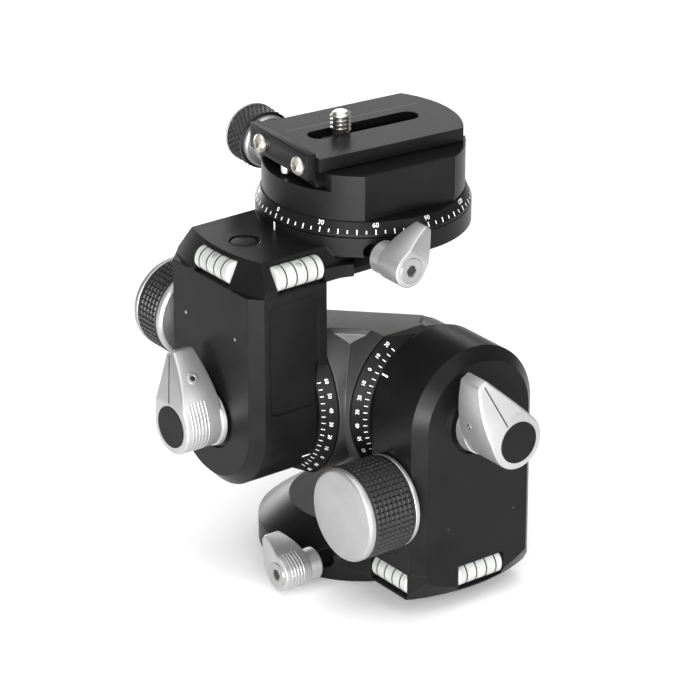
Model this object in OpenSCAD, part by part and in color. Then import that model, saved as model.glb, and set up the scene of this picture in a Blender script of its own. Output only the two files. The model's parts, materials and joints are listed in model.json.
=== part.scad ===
// Geared tripod head with two worm-driven tilts, a panning base, a panning top and a quick-release clamp.
// Millimetres, +Z up, origin at the centre of the underside of the base, on the tripod thread axis.

/* [Head] */
// Height of both tilt axes above the underside of the base
axis_h = 59.5; // [56:0.1:66]
// Turn of the top clamp about the pan axis, degrees
pan_turn = -5.6; // [-45:0.1:45]
// Radius of the base, the pan seat and the pan disc
pan_r = 32.9; // [31.5:0.1:34]

/* [Housings] */
// Width across the two flat sides of a housing
house_w = 45.6; // [44:0.1:48]
// Distance from the pan axis to the flat face of a housing
face_x = 57.2; // [56:0.1:60]
// Distance from the pan axis to the end of the drum next to the scale ring
drum_x = 34.6; // [34.5:0.1:35.2]
// Chamfer round the face of a housing
face_ch = 3.6; // [2:0.1:4.5]
// Height of the arch centre above the tilt axis
arch_up = 1.6; // [0:0.1:2.5]
// Distance from the tilt axis to the seam of the lower housing and the base plate
seam_low = 44.6; // [43:0.1:45.5]
// Distance from the tilt axis to the seam of the upper housing and the top plate
seam_up = 42.8; // [41.5:0.1:44]
// Thickness of the arms of the end plates
arm_t = 9.3; // [9:0.1:10]
// Radius of the turned edge of the base plate at its outer flat
edge_r = 56.6; // [55.5:0.1:58]
// Radius of the turned edge of the top plate at its outer flat
edge_r_up = 54; // [53:0.1:55]
// Half width of the flat of the top plate between its sloped sides
top_w = 17.8; // [17:0.1:19]

/* [Cross block] */
// Radius of the scale ring
ring_r = 27.6; // [26.5:0.1:28.2]
// Half height of the flats on the cross block
block_z = 23.3; // [22:0.1:24]
// Distance from the pan axis to the flat that carries a scale ring
ring_x = 29.6; // [29:0.1:30]
// Radius of a tilt shaft
shaft_r = 5.5; // [5:0.1:6]

/* [Worm drive] */
// Number of teeth of the lower wheel
teeth = 60; // [56:2:64]
// Number of teeth of the upper wheel
teeth_up = 54; // [52:2:58]
// Pitch radius of the worms
worm_pr = 4; // [3.8:0.1:4.6]
// Pitch radius of the lower worm wheel
wheel_r = 18; // [17.6:0.1:18.2]
// Distance from the pan axis to the worm axis
worm_x = 45.5; // [45:0.1:46]
// Radius of the lower worm knob grip
knob_r = 14.5; // [14:0.1:15.2]
// Radius of the upper worm knob grip
knob_r_up = 14.5; // [13.5:0.1:15]
// Distance from the tilt frame's centre to the outer end of the lower worm knob
knob_end = 42.6; // [40:0.1:44]
// Distance from the tilt frame's centre to the outer end of the upper worm knob
knob_end_up = 37.6; // [36.5:0.1:39]

/* [Levers] */
// Reach of the lower tilt lock lever past the housing face
lock_l = 18.6; // [17.5:0.1:20]
// Reach of the upper tilt lock lever past the housing face
lock_l_up = 14.8; // [14.2:0.1:16]
// Radius of a tilt lock lever at its outer end
lock_r = 8.7; // [8.4:0.1:9.2]
// Radius of a tilt lock lever at the housing
lock_hub = 9.4; // [9:0.1:10]
// Hub radius of a pan clamp lever
clamp_r = 5.4; // [5.2:0.1:6]
// Offset of a pan clamp lever from the pan axis
clamp_off = 17; // [16:0.1:18]

/* [Quick release] */
// Width of the camera plate
plate_w = 35.5; // [34:0.1:38]
// Length of the camera plate
plate_l = 56; // [54:0.5:58]
// Height of the plate top above the tilt axis
plate_top = 78.4; // [77.8:0.1:80]
// Thickness of the rim of the camera plate
plate_t = 4.2; // [3.8:0.1:4.6]
// Distance of the clamp body inside the edge of the pan disc
body_in = 2; // [1.4:0.1:3]
// Depth of the flat on the side of the clamp body
flat_in = 4.3; // [3:0.1:5]
// Offset of the clamp knob along the plate
qr_off = -15; // [-17:0.5:-12]
// Height of the clamp knob above the tilt axis
qr_z = 65.9; // [65.6:0.1:66.6]
// Radius of the clamp knob grip
qr_r = 9.4; // [9:0.1:9.8]

/* [Mounts] */
// Minor diameter of the tripod thread, 3/8 inch 16 per inch
tripod_d = 8.2; // [8:0.1:8.6]
// Major diameter of the camera screw, 1/4 inch 20 per inch
screw_d = 6.35; // [6.1:0.05:6.4]

/* [Hidden] */
$fn = 96;
hw = house_w / 2;
plate_z = seam_low + arm_t;
plate_z_up = seam_up + arm_t;
gap = 0.3;
fit = 0.05;
pitch = 2 * PI * wheel_r / teeth;
wheel_r_up = wheel_r * teeth_up / teeth;
worm_off = wheel_r + worm_pr;
worm_off_up = wheel_r_up + worm_pr;
bush_r = worm_pr + 2.2;
worm_tip = worm_pr + 0.5;
worm_root = worm_pr - 0.75;
worm_j = worm_root - 0.15;
wheel_w = 5;
cav_r = wheel_r + 1.65;
seat_z = 55;
seat_r = pan_r - 10.1;
neck_r = 25;
vial_r = 3.8;
body_r = pan_r - body_in;
body_flat = body_r - flat_in;
jaw_x = body_r - 3.9;
base_top = axis_h - seam_low;
clamp_y = sqrt(pow(pan_r, 2) - pow(clamp_off, 2)) + 3.534;
slope = 0.55;
slope_up = 0.45;
disc_top = 59.6;
rim_low = plate_top - plate_t;
dove_h = 5.4;
dove_z = rim_low - dove_h;
qr_bolt = dove_z - gap - qr_z - 0.1;
stop_y = -26;
lock_x = face_x + gap;
bush_x = 53;

// Node to draw

// The frame of the tilt axes
module at_axes() {
  translate([0, 0, axis_h]) children();
}

// The upper half is the lower half turned over about a level diagonal
module flipped() {
  at_axes() rotate([180, 0, -90]) children();
}

// Cylinder along X from x0 to x1
module xrod(x0, x1, r, r2 = -1) {
  translate([x0, 0, 0]) rotate([0, 90, 0]) cylinder(h = x1 - x0, r1 = r, r2 = r2 < 0 ? r : r2);
}

// Cylinder along Y from y0 to y1
module yrod(y0, y1, r, r2 = -1) {
  translate([0, y0, 0]) rotate([-90, 0, 0]) cylinder(h = y1 - y0, r1 = r, r2 = r2 < 0 ? r : r2);
}

// Box given by two corners
module box(a, b) {
  translate(a) cube(b - a);
}

// Rectangle with round corners, centred
module round_rect(w, h, r) {
  square([w - 2 * r, h], center = true);
  square([w, h - 2 * r], center = true);
  for (i = [-1, 1], j = [-1, 1]) translate([i * (w / 2 - r), j * (h / 2 - r)]) circle(r);
}

// Outline of a housing and its end plate seen from above
module arm_outline(x0) {
  polygon([[x0, -hw], [face_x - face_ch, -hw], [face_x, -hw + face_ch],
    [face_x, hw - face_ch], [face_x - face_ch, hw], [x0, hw]]);
}

// Place of the bolt that joins a housing and its end plate
module at_bolt(k) {
  translate([k < 0 ? 45 : 44.7, k < 0 ? -3.9 : -0.6, 0]) children();
}

// Distance from a tilt axis to its worm, radius and reach of its knob
function worm_d(k) = k < 0 ? worm_off : worm_off_up;
function knob_rad(k) = k < 0 ? knob_r : knob_r_up;
function knob_out(k) = k < 0 ? knob_end : knob_end_up;

// Ends of the two vials of a half along its arm and across its face
function vial_ends(k) = k < 0 ? [34.6, 52, -6.9, 10.3] : [31.4, 48.6, -9.5, 7.7];
function vial_z(k) = k < 0 ? -49.3 : -46.9;

// Worm gear housing of the lower half, worm knob on side k
module housing(s, k) {
  difference() {
    union() {
      translate([0, 0, arch_up]) xrod(drum_x, face_x - face_ch, hw);
      translate([0, 0, arch_up]) xrod(face_x - face_ch, face_x, hw, hw - face_ch);
      translate([0, 0, -s]) linear_extrude(height = s + arch_up) arm_outline(ring_x + 1.2);
    }
    xrod(ring_x, drum_x, ring_r + 0.4);
    xrod(drum_x - 1, worm_x + 4, cav_r);
    xrod(worm_x, bush_x, 7.5 + fit);
    translate([0, 0, arch_up]) xrod(bush_x + 0.6, face_x + 1, 2.9);
    translate([0, 0, arch_up]) xrod(face_x - 0.8, face_x + 1, lock_hub + 1);
    translate([worm_x, 0, -worm_d(k)]) yrod(k < 0 ? -hw - 1 : -14, k < 0 ? 14 : hw + 1, bush_r);
    translate([42.7, -k * hw, -22]) rotate([90, 0, 0]) translate([0, 0, -0.8])
      linear_extrude(height = 1.6) round_rect(18, 36, 3);
    at_bolt(k) translate([0, 0, -s - 1]) cylinder(h = 9, r = 3 + fit);
  }
}

// End plate arm with its turned edge of radius r and slope t, outer flat at z
module arm(s, z, r, t) {
  intersection() {
    translate([0, 0, -z]) linear_extrude(height = z - s) arm_outline(0);
    translate([0, 0, -z]) cylinder(h = z - s, r1 = r, r2 = r + t * (z - s));
  }
}

// Sloped sides of the top plate
module sloped_sides() {
  rotate([90, 0, 90]) linear_extrude(height = 70) polygon([[-hw - 1, -seam_up + 1], [-hw - 1, -seam_up - 0.3],
    [-top_w, -plate_z_up], [top_w, -plate_z_up], [hw + 1, -seam_up - 0.3], [hw + 1, -seam_up + 1]]);
}

// Vial slots and bolt hole of an end plate with its outer flat at p
module arm_cuts(k, p) {
  v = vial_ends(k);
  z = vial_z(k);
  box([v[0] - 0.2, -hw - 1, z - 4], [v[1] + 0.2, -hw + 7.2, z + 4]);
  box([face_x - 7.2, v[2] - 0.2, z - 4], [face_x + 1, v[3] + 0.2, z + 4]);
  at_bolt(k) translate([0, 0, -p - 1]) cylinder(h = 20, r = 3 + fit);
  at_bolt(k) translate([0, 0, -p - 1]) cylinder(h = 7.4, r = 3.9);
  at_bolt(k) translate([0, 0, -p - 1]) cylinder(h = 3.5, r = 4.6 + fit);
}

// Hollow blend between an end plate arm and its round seat
module neck(s, z) {
  c = [hw + neck_r, -sqrt(pow(pan_r + neck_r, 2) - pow(hw + neck_r, 2))];
  translate([0, 0, -z]) linear_extrude(height = z - s - 0.4) for (i = [-1, 1]) difference() {
    polygon([[10, i * 10], [-c[1], i * 10], [-c[1], i * hw], [0.73 * pan_r, i * 0.82 * pan_r]]);
    translate([-c[1], i * c[0]]) circle(neck_r);
  }
}

// Level vials of one half
module vials(k) {
  v = vial_ends(k);
  translate([0, -hw + 3.4, vial_z(k)]) xrod(v[0], v[1], vial_r);
  translate([face_x - 3.4, 0, vial_z(k)]) yrod(v[2], v[3], vial_r);
}

// Plain bearing of a tilt shaft in the face wall
module shaft_bush() {
  difference() {
    xrod(worm_x + 4, bush_x, 7.5);
    xrod(worm_x, face_x + 1, shaft_r + fit);
  }
}

// Plain bearings of a worm, one each side of the thread
module worm_bush(k) {
  translate([worm_x, 0, -worm_d(k)]) difference() {
    union() {
      yrod(k < 0 ? -hw : 10, k < 0 ? -10 : hw, bush_r - fit);
      yrod(k < 0 ? 10 : -14, k < 0 ? 14 : -10, bush_r - fit);
    }
    yrod(-60, 60, worm_j + fit);
  }
}

// Bolt that joins a housing and its end plate
module plate_bolt(s, k, p) {
  at_bolt(k) difference() {
    union() {
      translate([0, 0, -p + 6.4 - 4]) cylinder(h = 4, r = 3.7);
      translate([0, 0, -p + 6.4]) cylinder(h = p - 6.4 - s + 7.5, r = 3);
    }
    translate([0, 0, -p + 2.3]) cylinder(h = 2.4, r = 2.2, $fn = 6);
  }
}

// Plug that closes the bolt counterbore
module plug(k, p) {
  at_bolt(k) translate([0, 0, -p + 0.4]) cylinder(h = 2, r = 4.6);
}

// Worm thread with its core, a helical strip that closes on a point at each end
module thread(len) {
  n = 24;
  steps = floor(len / pitch * n);
  last = 4 * steps;
  row = [for (i = [0:steps]) let (y = -len / 2 + i * pitch / n, a = 90 + 360 * (y - pitch / 2) / pitch)
    for (q = [[worm_root, -0.6], [worm_tip, -0.18], [worm_tip, 0.18], [worm_root, 0.6]])
      [q[0] * cos(a), y + q[1], q[0] * sin(a)]];
  low = len(row);
  pts = concat(row, [[0, -len / 2 - 1.4, 0], [0, len / 2 + 1.4, 0]]);
  flanks = [for (i = [0:steps - 1], j = [0:2]) let (a = 4 * i + j)
    each [[a, a + 1, a + 5], [a, a + 5, a + 4]]];
  roots = [for (i = [0:steps - n - 1]) let (a = 4 * i + 3, b = 4 * (i + n))
    each [[a, b, b + 4], [a, b + 4, a + 4]]];
  first = concat([for (i = [0:n]) 4 * i], [3, 2, 1]);
  final = concat([last, last + 1, last + 2], [for (i = [0:n]) last + 3 - 4 * i]);
  caps = [for (i = [0:n + 3]) let (j = (i + 1) % (n + 4))
    each [[first[i], first[j], low], [final[i], final[j], low + 1]]];
  polyhedron(points = pts, faces = [for (f = concat(flanks, roots, caps)) [f[2], f[1], f[0]]]);
}

// Worm with its shaft, knob on side k
module worm(k) {
  translate([worm_x, 0, -worm_d(k)]) {
    yrod(k < 0 ? -knob_end + 4 : -13.5, k < 0 ? 13.5 : knob_end_up - 4, worm_j);
    thread(15);
  }
}

// Ring of a worm knob between two distances from the pan axis
module knob_part(k, a, b, r, bore) {
  translate([worm_x, 0, -worm_d(k)]) difference() {
    yrod(k < 0 ? -b : a, k < 0 ? -a : b, r);
    if (bore) yrod(k < 0 ? -knob_end + 4 : 0, k < 0 ? 0 : knob_end_up - 4, worm_j + fit);
  }
}

// Knob cap with a bevelled rim
module knob_cap(k) {
  translate([worm_x, 0, -worm_d(k)]) rotate([0, 0, k < 0 ? 180 : 0]) {
    yrod(knob_out(k) - 2.4, knob_out(k) - 0.9, knob_rad(k) - 0.2);
    yrod(knob_out(k) - 0.9, knob_out(k), knob_rad(k) - 0.2, knob_rad(k) - 1.1);
  }
}

// Worm wheel with straight teeth
module wheel(r, n) {
  difference() {
    translate([worm_x - wheel_w / 2, 0, 0]) rotate([90, 0, 90]) linear_extrude(height = wheel_w)
      polygon([for (i = [0:n - 1]) let (a = -90 + i * 360 / n)
        for (q = [[r - 0.75, -0.59], [r + 0.45, -0.15], [r + 0.45, 0.15], [r - 0.75, 0.59]])
          [q[0] * cos(a) - q[1] * sin(a), q[0] * sin(a) + q[1] * cos(a)]]);
    xrod(0, face_x, shaft_r + fit);
    for (i = [0:4]) rotate([i * 72, 0, 0]) translate([0, 0, r * 0.63]) xrod(0, face_x, r * 0.14);
  }
}

// Tilt shaft with the shoulder that seats the wheel
module shaft() {
  xrod(14, bush_x - 0.2, shaft_r);
  xrod(drum_x - 0.4, worm_x - wheel_w / 2, 8.5);
}

// Flats and reduced back that a ring and the block share
module ring_limit() {
  intersection() {
    union() {
      box([0, -60, -60], [60, 0, 60]);
      xrod(0, 60, 22.4);
    }
    box([0, -60, -block_z], [60, 60, block_z]);
  }
}

// Scale ring with its conical face
module scale_ring() {
  intersection() {
    difference() {
      union() {
        xrod(ring_x, ring_x + 0.8, ring_r);
        xrod(ring_x + 0.8, drum_x - 0.4, ring_r, hw + 0.8);
      }
      xrod(0, 60, shaft_r + fit);
    }
    ring_limit();
  }
}

// One arm of the cross block
module block_arm() {
  intersection() {
    xrod(4, ring_x, ring_r);
    ring_limit();
  }
}

// Cuts the cross block to its round back
module back_round() {
  intersection() {
    children();
    rotate([0, 0, -45]) {
      translate([21.7, 0, 0]) yrod(-60, 60, 24.3);
      box([21.7, -60, -60], [60, 60, 60]);
    }
  }
}

// Teardrop outline of a lever handle that points along Y
module teardrop(r, tip, d) {
  c = 0.985 * sqrt(1 - pow((r - tip) / d, 2));
  t = (r - tip) / d;
  circle(r);
  translate([0, d]) circle(tip);
  polygon([[r * c, r * t], [tip * c, d + tip * t], [-tip * c, d + tip * t], [-r * c, r * t]]);
}

// Lever with its axis along X and its handle along Z
module lever(r, hub, tip, d, xh, x1, drop, stud, stud_r, cap_r) {
  difference() {
    union() {
      xrod(0, xh + 1, hub, hub - 0.04 * (xh + 1));
      translate([xh, 0, 0]) rotate([90, 0, 90]) linear_extrude(height = x1 - xh) teardrop(r, tip, d);
      xrod(-stud, 1, stud_r);
    }
    translate([x1, -40, cap_r + 0.7]) rotate([0, -atan(drop / d), 0]) cube([40, 80, 80]);
    xrod(x1 - 2, x1 + 1, cap_r + fit);
  }
}

// Frame of a tilt lock lever turned by a
module at_lock(a) {
  translate([lock_x, 0, arch_up]) rotate([a, 0, 0]) children();
}

module lock_lever(l) {
  lever(lock_r, lock_hub, 4.6, 17.5, l - 11.9, l - gap, 6, 3.4, 2.6, 6.5);
}

module lock_cap(l) {
  xrod(l - gap - 2, l - gap + 0.3, 6.5);
}

// Frame of a pan clamp lever at height z turned by a
module at_clamp(z, a) {
  translate([clamp_off, -clamp_y, z]) rotate([0, 0, -90]) rotate([a, 0, 0]) children();
}

module clamp_lever() {
  lever(clamp_r, clamp_r - 0.3, 2.8, 10.8, 4.5, 14, 4, 3.4, 2.4, 3.9);
}

// Cap screw in a pan clamp lever
module clamp_screw() {
  difference() {
    xrod(12, 14.4, 3.9);
    translate([13, 0, 0]) rotate([0, 90, 0]) cylinder(h = 3, r = 2, $fn = 6);
  }
}

// Frame of the top clamp
module on_pan() {
  at_axes() rotate([0, 0, pan_turn]) children();
}

// Profile in X and Z drawn along Y between two distances
module bar(y0, y1) {
  translate([0, y1, 0]) rotate([90, 0, 0]) linear_extrude(height = y1 - y0) children();
}

module foot() color([0.1, 0.1, 0.11]) {
  difference() {
    cylinder(h = 8, r = 27.3);
    translate([0, 0, -1]) cylinder(h = 10, r = tripod_d / 2);
    for (a = [0:120:240]) rotate([0, 0, a + 30]) translate([18, 0, -1]) cylinder(h = 4, r = 2.2);
  }
}

module foot_spindle() color([0.7, 0.7, 0.72]) {
  difference() {
    translate([0, 0, 8]) cylinder(h = base_top - 6.9, r = 8);
    translate([0, 0, 7]) cylinder(h = 6, r = tripod_d / 2);
  }
}

module spindle_nut() color([0.55, 0.45, 0.2]) {
  difference() {
    translate([0, 0, base_top - 2.8]) cylinder(h = 3, r = 11);
    cylinder(h = 30, r = 8 + fit);
  }
}

module foot_lever() color([0.75, 0.75, 0.76]) at_axes() at_clamp(6.9 - axis_h, 45) clamp_lever();

module foot_lever_screw() color([0.6, 0.6, 0.62]) at_axes() at_clamp(6.9 - axis_h, 45) clamp_screw();

module base_plate() color([0.08, 0.08, 0.09]) {
  difference() {
    union() {
      at_axes() arm(seam_low, plate_z, edge_r, slope);
      at_axes() neck(seam_low, plate_z);
      intersection() {
        translate([0, 0, 0.3]) cylinder(h = base_top - 0.3, r = pan_r);
        translate([0, 0, base_top - 42.9]) sphere(sqrt(pow(pan_r, 2) + pow(36, 2)));
      }
    }
    at_axes() arm_cuts(-1, plate_z);
    translate([0, 0, -1]) cylinder(h = 9.3, r = 27.6);
    cylinder(h = 40, r = 8 + fit);
    translate([0, 0, base_top - 3]) cylinder(h = 40, r = 11.4);
    at_axes() at_clamp(6.9 - axis_h, 0) xrod(-20, 5, 2.8);
    at_axes() translate([clamp_off, 0, 6.9 - axis_h]) yrod(-60, -clamp_y + 0.5, clamp_r + 0.4);
  }
}

module housing_low() color([0.08, 0.08, 0.09]) at_axes() housing(seam_low, -1);

module vials_low() color([0.92, 0.94, 0.9]) at_axes() vials(-1);

module shaft_bush_low() color([0.72, 0.55, 0.25]) at_axes() shaft_bush();

module worm_bush_low() color([0.72, 0.55, 0.25]) at_axes() worm_bush(-1);

module plate_bolt_low() color([0.5, 0.5, 0.52]) at_axes() plate_bolt(seam_low, -1, plate_z);

module plug_low() color([0.1, 0.1, 0.11]) at_axes() plug(-1, plate_z);

module worm_low() color([0.6, 0.6, 0.62]) at_axes() worm(-1);

module knob_collar_low() color([0.78, 0.78, 0.78]) at_axes()
  knob_part(-1, hw + 0.5, hw + 2.6, knob_r - 0.3, true);

module knob_grip_low() color([0.05, 0.05, 0.05]) at_axes()
  knob_part(-1, hw + 2.6, knob_end - 2.4, knob_r, true);

module knob_cap_low() color([0.8, 0.8, 0.8]) at_axes() knob_cap(-1);

module lock_lever_low() color([0.75, 0.75, 0.76]) at_axes() at_lock(37) lock_lever(lock_l);

module lock_cap_low() color([0.05, 0.05, 0.05]) at_axes() at_lock(37) lock_cap(lock_l);

module cross_block() color([0.2, 0.2, 0.21]) at_axes() {
  difference() {
    union() {
      back_round() block_arm();
      back_round() rotate([180, 0, -90]) block_arm();
      difference() {
        rotate([0, 0, -45]) bar(-20, 20) intersection() {
          polygon([[-3, -block_z], [27.2, -block_z], [28.4, 1.2 - block_z],
            [28.4, block_z - 1.2], [27.2, block_z], [-3, block_z]]);
          union() {
            translate([21.7, 0]) circle(24.5);
            translate([21.7, -30]) square([30, 60]);
          }
        }
        box([ring_x, -60, -60], [60, 60, 60]);
        box([-60, -60, -60], [60, -ring_x, 60]);
      }
    }
    xrod(14, 60, shaft_r + fit);
    rotate([180, 0, -90]) xrod(14, 60, shaft_r + fit);
  }
}

module scale_ring_low() color([0.06, 0.06, 0.07]) at_axes() scale_ring();

module scale_ring_up() color([0.06, 0.06, 0.07]) flipped() scale_ring();

module shaft_low() color([0.6, 0.6, 0.62]) at_axes() shaft();

module shaft_up() color([0.6, 0.6, 0.62]) flipped() shaft();

module wheel_low() color([0.72, 0.55, 0.25]) at_axes() wheel(wheel_r, teeth);

module wheel_up() color([0.72, 0.55, 0.25]) flipped() wheel(wheel_r_up, teeth_up);

module top_plate() color([0.08, 0.08, 0.09]) {
  difference() {
    union() {
      flipped() intersection() {
        arm(seam_up, plate_z_up, edge_r_up, slope_up);
        sloped_sides();
      }
      flipped() neck(seam_up, plate_z_up - 5);
      at_axes() translate([0, 0, 48.9]) cylinder(h = seat_z - 48.9, r = pan_r);
      at_axes() translate([0, 0, 44.6]) cylinder(h = 4.3, r1 = seat_r, r2 = pan_r - 1.1);
    }
    flipped() arm_cuts(1, plate_z_up);
    at_axes() cylinder(h = 80, r = 8 + fit);
    at_axes() translate([0, 0, 30]) cylinder(h = 18, r = 11.4);
    flipped() at_clamp(-50.6, 0) xrod(-20, 5, 2.8);
  }
}

module housing_up() color([0.08, 0.08, 0.09]) flipped() housing(seam_up, 1);

module vials_up() color([0.92, 0.94, 0.9]) flipped() vials(1);

module shaft_bush_up() color([0.72, 0.55, 0.25]) flipped() shaft_bush();

module worm_bush_up() color([0.72, 0.55, 0.25]) flipped() worm_bush(1);

module plate_bolt_up() color([0.5, 0.5, 0.52]) flipped() plate_bolt(seam_up, 1, plate_z_up);

module plug_up() color([0.1, 0.1, 0.11]) flipped() plug(1, plate_z_up);

module worm_up() color([0.6, 0.6, 0.62]) flipped() worm(1);

module knob_collar_up() color([0.78, 0.78, 0.78]) flipped()
  knob_part(1, hw + 0.5, hw + 2.6, knob_r_up - 0.3, true);

module knob_grip_up() color([0.05, 0.05, 0.05]) flipped()
  knob_part(1, hw + 2.6, knob_end_up - 2.4, knob_r_up, true);

module knob_cap_up() color([0.8, 0.8, 0.8]) flipped() knob_cap(1);

module lock_lever_up() color([0.75, 0.75, 0.76]) flipped() at_lock(184) lock_lever(lock_l_up);

module lock_cap_up() color([0.05, 0.05, 0.05]) flipped() at_lock(184) lock_cap(lock_l_up);

module pan_lever() color([0.75, 0.75, 0.76]) flipped() at_clamp(-50.6, 138) clamp_lever();

module pan_lever_screw() color([0.6, 0.6, 0.62]) flipped() at_clamp(-50.6, 138) clamp_screw();

module pan_disc() color([0.08, 0.08, 0.09]) on_pan() {
  difference() {
    union() {
      translate([0, 0, seat_z + gap]) cylinder(h = 0.7, r = pan_r);
      translate([0, 0, seat_z + gap + 0.7])
        cylinder(h = disc_top - seat_z - gap - 0.7, r1 = pan_r, r2 = body_r + 0.3);
    }
    translate([0, 0, 50]) cylinder(h = 8, r = 8 + fit);
  }
}

module pan_spindle() color([0.7, 0.7, 0.72]) on_pan() translate([0, 0, 44.5]) cylinder(h = 13.5, r = 8);

module pan_nut() color([0.55, 0.45, 0.2]) on_pan() difference() {
  translate([0, 0, 44.8]) cylinder(h = 3, r = 11);
  cylinder(h = 60, r = 8 + fit);
}

module clamp_body() color([0.1, 0.1, 0.11]) on_pan() {
  difference() {
    translate([0, 0, disc_top]) cylinder(h = rim_low - gap - disc_top, r = body_r);
    box([body_flat, -40, 50], [60, 40, 90]);
    bar(-50, 50) polygon([[-40, dove_z - gap], [16.4, dove_z - gap], [16.4, dove_z + 1.6],
      [12.9, rim_low + 0.1], [12.9, 90], [-40, 90]]);
    box([-60, -40, 61], [-jaw_x + 3.6, 40, 90]);
    box([-40, -40, dove_z - gap], [60, -23.5, 90]);
    translate([0, qr_off, qr_z]) xrod(-40, -6, qr_bolt + gap);
    translate([0, qr_off, qr_z]) xrod(-60, -jaw_x + 0.1, 7.5);
  }
}

module jaw() color([0.1, 0.1, 0.11]) on_pan() {
  difference() {
    intersection() {
      union() {
        bar(-19, 19) polygon([[-40, dove_z - 0.2], [-16.5, dove_z - 0.2], [-16.5, dove_z + 1.6],
          [-13, rim_low - gap], [-40, rim_low - gap]]);
        box([-40, -19, 61.3], [-jaw_x + 3, 19, rim_low - gap]);
      }
      cylinder(h = 90, r = body_r);
      box([-jaw_x, -40, 0], [40, 40, 90]);
    }
    translate([0, qr_off, qr_z]) xrod(-40, -6, qr_bolt + gap);
  }
}

module qr_screw() color([0.6, 0.6, 0.62]) on_pan() translate([0, qr_off, qr_z])
  xrod(-jaw_x - 9, -8, qr_bolt);

module qr_collar() color([0.8, 0.8, 0.8]) on_pan() translate([0, qr_off, qr_z]) difference() {
  xrod(-jaw_x - 3.6, -jaw_x, qr_z - disc_top - gap);
  xrod(-60, 0, qr_bolt + fit);
}

module qr_grip() color([0.05, 0.05, 0.05]) on_pan() translate([0, qr_off, qr_z]) difference() {
  xrod(-jaw_x - 14.5, -jaw_x - 3.6, qr_r);
  xrod(-jaw_x - 9, 0, qr_bolt + fit);
}

module camera_plate() color([0.07, 0.07, 0.08]) on_pan() {
  difference() {
    union() {
      translate([0, 0, rim_low]) linear_extrude(height = plate_t) intersection() {
        translate([-plate_w / 2, stop_y]) square([plate_w, plate_l]);
        translate([0, stop_y + plate_l - 31]) circle(31);
      }
      bar(stop_y, 22) polygon([[-12.5, rim_low], [-16, dove_z + 1.6], [-16, dove_z],
        [16, dove_z], [16, dove_z + 1.6], [12.5, rim_low]]);
    }
    translate([0, 0, 50]) linear_extrude(height = 60) round_rect(7, 38, 3.4);
    translate([0, 0, 50]) linear_extrude(height = plate_top - 2.6 - 50) round_rect(12.4, 43, 6.1);
    for (i = [-1, 1]) translate([11 * i, 0, plate_top - 3.4]) yrod(-40, -18, 1.5 + fit);
  }
}

module end_stop() color([0.07, 0.07, 0.08]) on_pan() {
  difference() {
    box([-17.6, stop_y - 3.2, plate_top - 6.8], [15.6, stop_y, plate_top + 1.1]);
    for (i = [-1, 1]) translate([11 * i, 0, plate_top - 3.4]) yrod(-40, -18, 1.5 + fit);
  }
}

module stop_screws() color([0.75, 0.74, 0.7]) on_pan() {
  for (i = [-1, 1]) translate([11 * i, 0, plate_top - 3.4]) {
    yrod(stop_y - 3.2, -19, 1.5);
    yrod(stop_y - 4.2, stop_y - 3.2, 2.7);
    yrod(stop_y - 5, stop_y - 4.2, 1.8, 2.7);
  }
}

module screw_washer() color([0.3, 0.3, 0.32]) on_pan() translate([0, -8, plate_top - 3.2]) difference() {
  cylinder(h = 0.6, r = 5.7);
  translate([0, 0, -1]) cylinder(h = 3, r = screw_d / 2 + fit);
}

module camera_screw() color([0.8, 0.8, 0.8]) on_pan() translate([0, -8, 0]) {
  difference() {
    union() {
      translate([0, 0, plate_top - 6.6]) cylinder(h = 3.3, r = 5.4);
      translate([0, 0, plate_top - 3.3]) cylinder(h = 4, r = 2.6);
      translate([0, 0, plate_top + 0.2]) cylinder(h = 5.4, r = screw_d / 2);
      translate([0, 0, plate_top + 5.6]) cylinder(h = 0.6, r1 = screw_d / 2, r2 = screw_d / 2 - 0.6);
    }
    translate([0, 0, plate_top - 7]) cylinder(h = 2.8, r = 2.4, $fn = 6);
  }
}

foot();
foot_lever();
foot_lever_screw();
foot_spindle();
spindle_nut();
base_plate();
housing_low();
vials_low();
shaft_bush_low();
worm_bush_low();
plate_bolt_low();
plug_low();
worm_low();
knob_collar_low();
knob_grip_low();
knob_cap_low();
lock_lever_low();
lock_cap_low();
cross_block();
scale_ring_low();
scale_ring_up();
shaft_low();
shaft_up();
wheel_low();
wheel_up();
top_plate();
housing_up();
vials_up();
shaft_bush_up();
worm_bush_up();
plate_bolt_up();
plug_up();
worm_up();
knob_collar_up();
knob_grip_up();
knob_cap_up();
lock_lever_up();
lock_cap_up();
pan_lever();
pan_lever_screw();
pan_disc();
pan_spindle();
pan_nut();
clamp_body();
jaw();
qr_screw();
qr_collar();
qr_grip();
camera_plate();
end_stop();
stop_screws();
screw_washer();
camera_screw();
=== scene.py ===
import json
import math
import bmesh
import bpy
from mathutils import Matrix, Vector


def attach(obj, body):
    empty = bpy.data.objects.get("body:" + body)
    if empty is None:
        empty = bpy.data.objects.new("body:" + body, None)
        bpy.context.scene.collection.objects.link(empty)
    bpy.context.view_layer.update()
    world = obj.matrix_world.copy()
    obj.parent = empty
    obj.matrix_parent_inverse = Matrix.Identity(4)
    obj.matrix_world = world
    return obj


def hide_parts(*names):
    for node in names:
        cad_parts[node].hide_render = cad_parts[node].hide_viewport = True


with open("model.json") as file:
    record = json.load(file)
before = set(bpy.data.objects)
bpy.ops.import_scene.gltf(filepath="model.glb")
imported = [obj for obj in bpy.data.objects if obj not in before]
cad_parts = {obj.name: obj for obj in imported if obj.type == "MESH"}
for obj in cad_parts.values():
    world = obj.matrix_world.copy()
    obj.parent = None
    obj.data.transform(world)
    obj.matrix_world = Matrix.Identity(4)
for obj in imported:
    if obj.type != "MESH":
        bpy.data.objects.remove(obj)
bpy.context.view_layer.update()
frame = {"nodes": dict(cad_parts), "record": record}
nodes = frame["nodes"]
print("frame loaded:", len(nodes), "nodes")


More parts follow.
